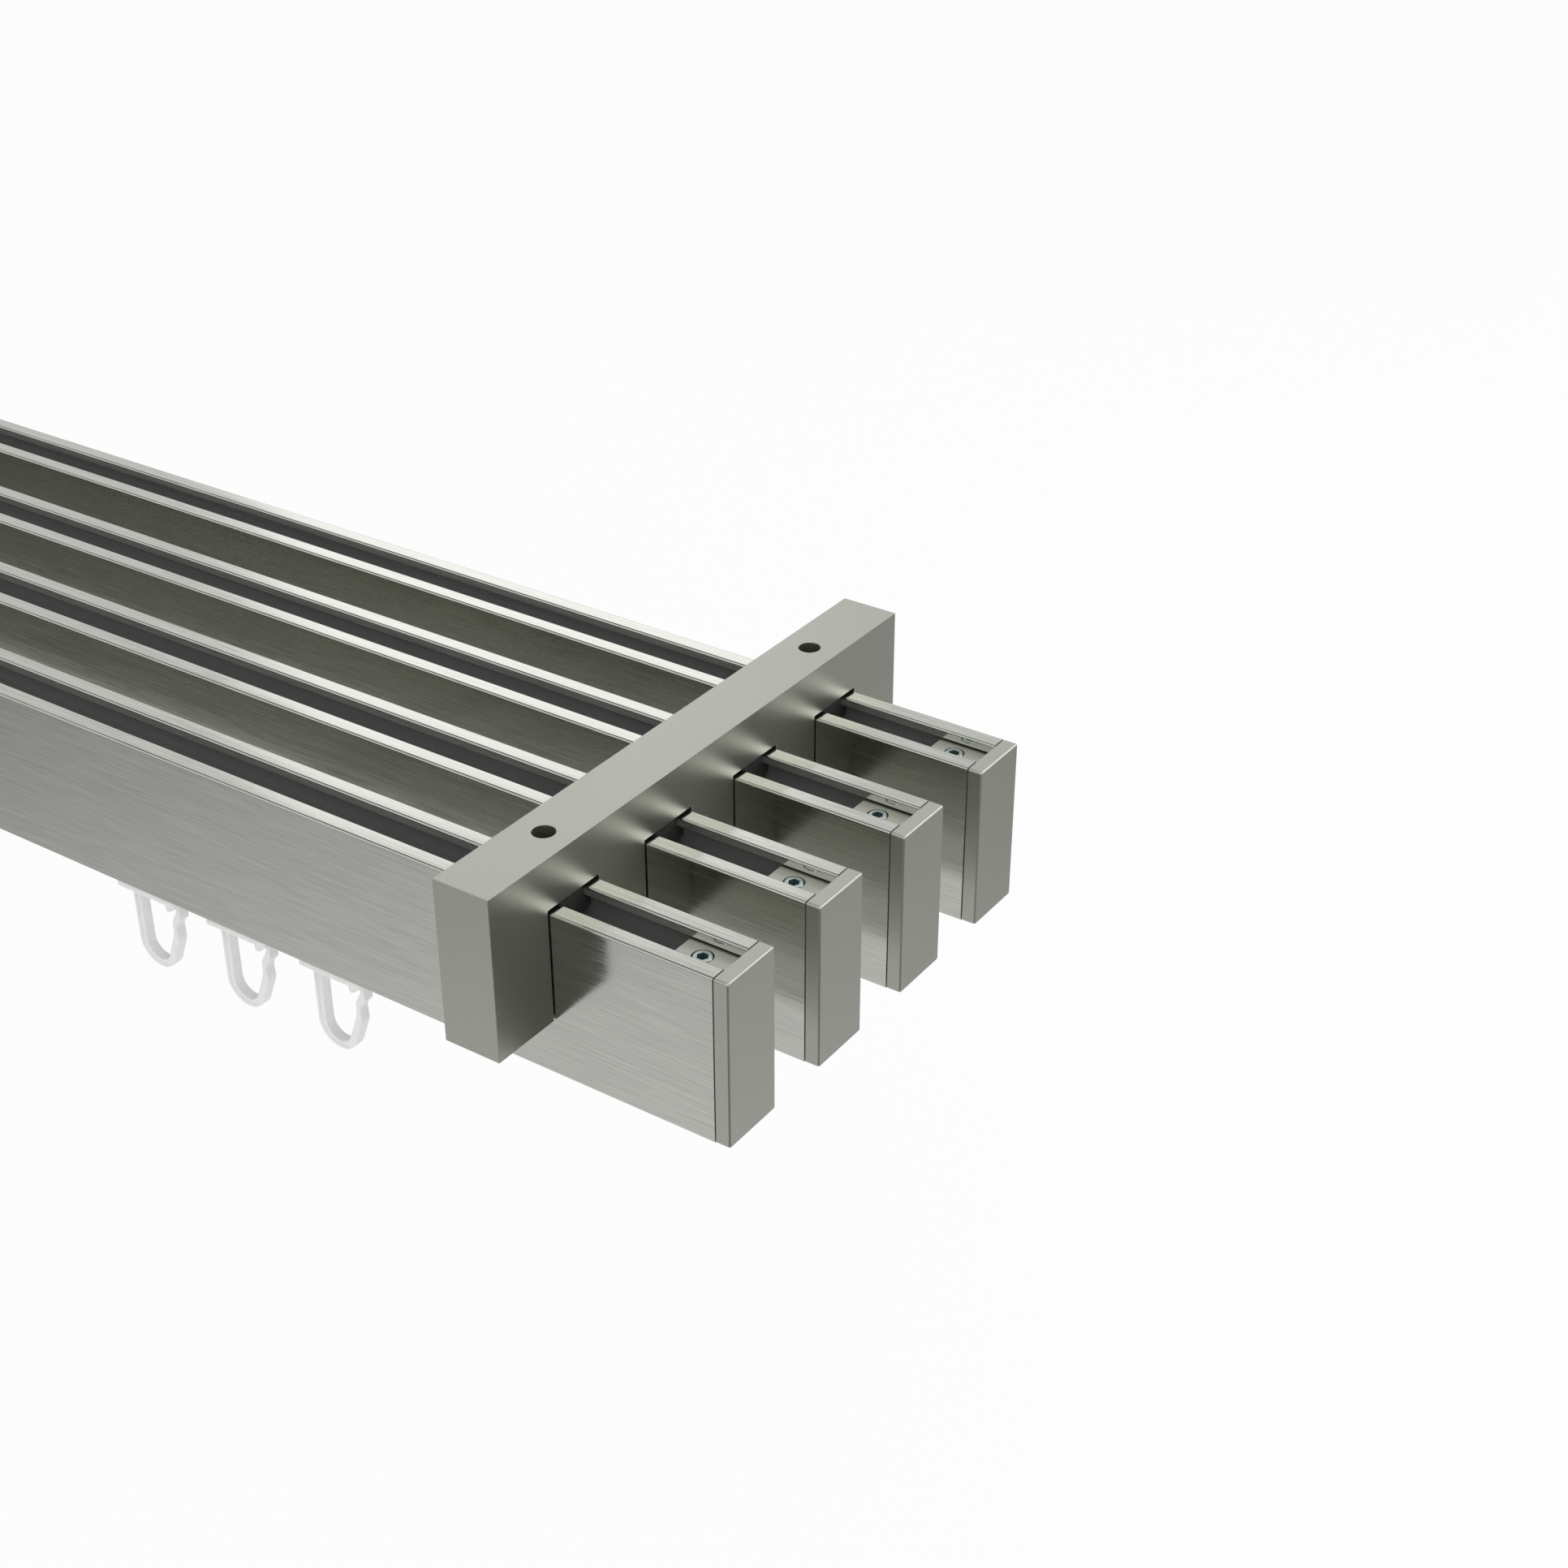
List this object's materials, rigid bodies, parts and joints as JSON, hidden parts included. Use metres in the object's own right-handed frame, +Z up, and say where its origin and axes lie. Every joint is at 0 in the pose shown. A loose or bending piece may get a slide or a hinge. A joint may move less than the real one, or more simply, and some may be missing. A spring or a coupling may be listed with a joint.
{
  "type": "curtain rod",
  "caption": "Ceiling-mounted curtain rod: parallel rectangular rails in notched cross brackets, with end caps and sliding hook gliders in the rails' lower channels.",
  "frame": {"origin": "on the ceiling plane, in the middle of the brackets' four ceiling holes", "axes": "+X along the rails towards the end that the picture shows, +Y across the rails away from the viewer, +Z up into the ceiling"},
  "size_m": [1.0066, 0.129, 0.0696],
  "materials": {
    "rail": "fine lengthwise brushing, stainless look, bare metal inside the channels",
    "bracket": "even satin",
    "end_cap": "even satin",
    "screw_steel": "bright zinc plate, slightly blue",
    "hanger_steel": "dark dull phosphate coating, left as it comes",
    "glider": "pale, slightly see-through moulded plastic"
  },
  "bodies": {
    "rod": {"rail_1": "rail", "rail_2": "rail", "rail_3": "rail", "rail_4": "rail", "bracket_left": "bracket", "hanger_left_1": "hanger_steel", "end_cap_left_1": "end_cap", "set_screw_left_1": "screw_steel", "hanger_left_2": "hanger_steel", "hanger_screw_left_2": "screw_steel", "end_cap_left_2": "end_cap", "set_screw_left_2": "screw_steel", "hanger_left_3": "hanger_steel", "hanger_screw_left_3": "screw_steel", "end_cap_left_3": "end_cap", "set_screw_left_3": "screw_steel", "hanger_left_4": "hanger_steel", "end_cap_left_4": "end_cap", "set_screw_left_4": "screw_steel", "bracket_right": "bracket", "hanger_right_1": "hanger_steel", "end_cap_right_1": "end_cap", "set_screw_right_1": "screw_steel", "hanger_right_2": "hanger_steel", "hanger_screw_right_2": "screw_steel", "end_cap_right_2": "end_cap", "set_screw_right_2": "screw_steel", "hanger_right_3": "hanger_steel", "hanger_screw_right_3": "screw_steel", "end_cap_right_3": "end_cap", "set_screw_right_3": "screw_steel", "hanger_right_4": "hanger_steel", "end_cap_right_4": "end_cap", "set_screw_right_4": "screw_steel"},
    "glider_1_1": {"glider_1_1": "glider"},
    "glider_1_2": {"glider_1_2": "glider"},
    "glider_1_3": {"glider_1_3": "glider"},
    "glider_2_1": {"glider_2_1": "glider"},
    "glider_2_2": {"glider_2_2": "glider"},
    "glider_2_3": {"glider_2_3": "glider"},
    "glider_3_1": {"glider_3_1": "glider"},
    "glider_3_2": {"glider_3_2": "glider"},
    "glider_3_3": {"glider_3_3": "glider"},
    "glider_4_1": {"glider_4_1": "glider"},
    "glider_4_2": {"glider_4_2": "glider"},
    "glider_4_3": {"glider_4_3": "glider"}
  },
  "joints": [
    {"name": "glider_1_1_slide", "type": "slide", "parent": "rod", "child": "glider_1_1", "axis": [1, 0, 0], "range_m": [-0.83715, 0.00765]},
    {"name": "glider_1_2_slide", "type": "slide", "parent": "rod", "child": "glider_1_2", "axis": [1, 0, 0], "range_m": [-0.00765, 0.00765]},
    {"name": "glider_1_3_slide", "type": "slide", "parent": "rod", "child": "glider_1_3", "axis": [1, 0, 0], "range_m": [-0.00765, 0.07345]},
    {"name": "glider_2_1_slide", "type": "slide", "parent": "rod", "child": "glider_2_1", "axis": [1, 0, 0], "range_m": [-0.83715, 0.00765]},
    {"name": "glider_2_2_slide", "type": "slide", "parent": "rod", "child": "glider_2_2", "axis": [1, 0, 0], "range_m": [-0.00765, 0.00765]},
    {"name": "glider_2_3_slide", "type": "slide", "parent": "rod", "child": "glider_2_3", "axis": [1, 0, 0], "range_m": [-0.00765, 0.07345]},
    {"name": "glider_3_1_slide", "type": "slide", "parent": "rod", "child": "glider_3_1", "axis": [1, 0, 0], "range_m": [-0.83715, 0.00765]},
    {"name": "glider_3_2_slide", "type": "slide", "parent": "rod", "child": "glider_3_2", "axis": [1, 0, 0], "range_m": [-0.00765, 0.00765]},
    {"name": "glider_3_3_slide", "type": "slide", "parent": "rod", "child": "glider_3_3", "axis": [1, 0, 0], "range_m": [-0.00765, 0.07345]},
    {"name": "glider_4_1_slide", "type": "slide", "parent": "rod", "child": "glider_4_1", "axis": [1, 0, 0], "range_m": [-0.83715, 0.00765]},
    {"name": "glider_4_2_slide", "type": "slide", "parent": "rod", "child": "glider_4_2", "axis": [1, 0, 0], "range_m": [-0.00765, 0.00765]},
    {"name": "glider_4_3_slide", "type": "slide", "parent": "rod", "child": "glider_4_3", "axis": [1, 0, 0], "range_m": [-0.00765, 0.07345]}
  ]
}
